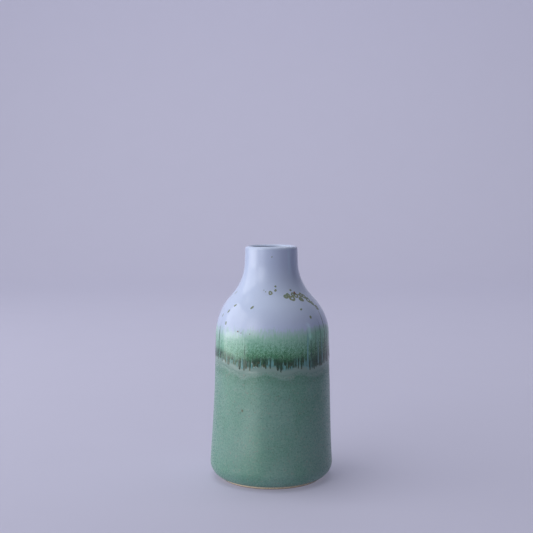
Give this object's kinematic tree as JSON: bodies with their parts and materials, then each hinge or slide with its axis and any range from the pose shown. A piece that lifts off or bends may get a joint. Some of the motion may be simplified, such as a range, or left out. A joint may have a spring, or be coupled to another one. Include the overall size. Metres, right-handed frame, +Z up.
{
  "type": "bud vase",
  "caption": "Thrown stoneware bud vase: bottle with a rounded shoulder and narrow neck, lilac-white glaze running in drips over a satin sea-green lower body, bare foot ring.",
  "frame": {"origin": "centre of the foot ring, on the plane it stands on", "axes": "+Z up along the pot's turning axis, -Y towards the side with the long pale run on its right and the close group of rings"},
  "size_m": [0.074, 0.074, 0.14],
  "materials": {
    "fired_clay": "bare fired stoneware, toasted brown at the foot",
    "liner_glaze": "glossy pale lilac-white",
    "sea_green_glaze": "satin, finely speckled",
    "run_glaze": "glossy, mint to dark green, in drips",
    "lilac_glaze": "glossy pale lilac-white",
    "underside_glaze": "thin satin wash",
    "olive_glaze": "semi-matt olive spots and rings"
  },
  "bodies": {
    "root": {"stoneware_body": "fired_clay", "liner_glaze": "liner_glaze", "lower_glaze": "sea_green_glaze", "run_band": "run_glaze", "upper_glaze": "lilac_glaze", "underside_glaze": "underside_glaze", "glaze_spots": "olive_glaze"}
  },
  "joints": []
}
